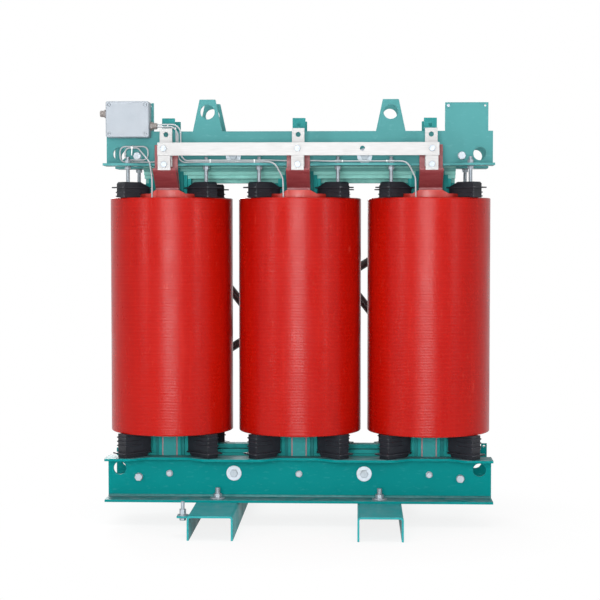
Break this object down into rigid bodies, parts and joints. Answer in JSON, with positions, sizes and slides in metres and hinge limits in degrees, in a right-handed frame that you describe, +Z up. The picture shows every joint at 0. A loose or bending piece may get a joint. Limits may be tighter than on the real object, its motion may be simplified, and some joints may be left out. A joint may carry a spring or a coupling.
{
  "type": "dry type transformer",
  "caption": "Three-phase cast-resin dry type transformer: red coils on a stepped core, teal clamps and feet, front low-voltage bars and a sensor box.",
  "frame": {"origin": "on the floor plane, on the middle leg axis, midway between the front and rear ends of the feet", "axes": "+Z up, +X to the right seen from the low-voltage side, +Y to the high-voltage side"},
  "size_m": [1.329, 0.86, 1.4435],
  "materials": {
    "core_steel": "teal varnish over stacked electrical steel sheets, matt",
    "clamp_paint": "teal enamel on folded steel plate, satin",
    "foot_paint": "teal enamel on folded steel channel, satin",
    "insulation_board": "glass-fibre laminate strip",
    "cast_resin": "red cast epoxy over a fine glass weave, semi-gloss",
    "lv_winding": "resin-bonded foil winding with red-brown insulation",
    "moulded_insulator": "black moulded insulator, satin",
    "plated_steel": "zinc-plated fasteners",
    "lead_wrap": "red-brown heat-shrink insulation on flat bar",
    "bare_aluminium": "bright bare bar",
    "link_sleeve": "black insulating sleeve on a tube",
    "tap_brass": "bare brass link",
    "box_plastic": "light grey moulded box",
    "gland_plastic": "dull brown-grey cable gland",
    "cable_jacket": "grey silicone sensor lead",
    "tie_plastic": "white nylon tie"
  },
  "bodies": {
    "root": {"bracket_screw": "plated_steel", "busbar_bolts": "plated_steel", "cable_ties": "tie_plastic", "clamp_lower_front": "clamp_paint", "clamp_lower_rear": "clamp_paint", "clamp_upper_front": "clamp_paint", "clamp_upper_rear": "clamp_paint", "coil_blocks_lower": "moulded_insulator", "coil_blocks_upper": "moulded_insulator", "core_leg_centre": "core_steel", "core_leg_left": "core_steel", "core_leg_right": "core_steel", "core_yoke_bottom": "core_steel", "core_yoke_top": "core_steel", "cross_bolts": "plated_steel", "earth_bolt": "plated_steel", "foot_fasteners": "plated_steel", "foot_left": "foot_paint", "foot_right": "foot_paint", "gland_left": "gland_plastic", "gland_right": "gland_plastic", "hv_coil_centre": "cast_resin", "hv_coil_left": "cast_resin", "hv_coil_right": "cast_resin", "hv_link_left": "link_sleeve", "hv_link_long": "link_sleeve", "hv_link_right": "link_sleeve", "hv_posts": "bare_aluminium", "hv_terminals": "plated_steel", "lid_screws": "plated_steel", "lv_coil_centre": "lv_winding", "lv_coil_left": "lv_winding", "lv_coil_right": "lv_winding", "neutral_busbar": "bare_aluminium", "neutral_lead_centre": "lead_wrap", "neutral_lead_left": "lead_wrap", "neutral_lead_right": "lead_wrap", "neutral_straps": "bare_aluminium", "phase_lead_centre": "lead_wrap", "phase_lead_left": "lead_wrap", "phase_lead_right": "lead_wrap", "phase_terminal_centre": "bare_aluminium", "phase_terminal_left": "bare_aluminium", "phase_terminal_right": "bare_aluminium", "press_nuts": "plated_steel", "press_studs": "plated_steel", "sensor_box": "box_plastic", "sensor_box_lid": "box_plastic", "sensor_cable_centre": "cable_jacket", "sensor_cable_left": "cable_jacket", "sensor_cable_right": "cable_jacket", "tap_links": "tap_brass", "tap_screws": "plated_steel", "terminal_bolts": "plated_steel", "tie_liners": "insulation_board", "tie_plate_bolts": "plated_steel", "tie_plates": "clamp_paint", "yoke_bolts": "plated_steel", "yoke_pads": "insulation_board", "yoke_washers": "plated_steel"}
  },
  "joints": []
}
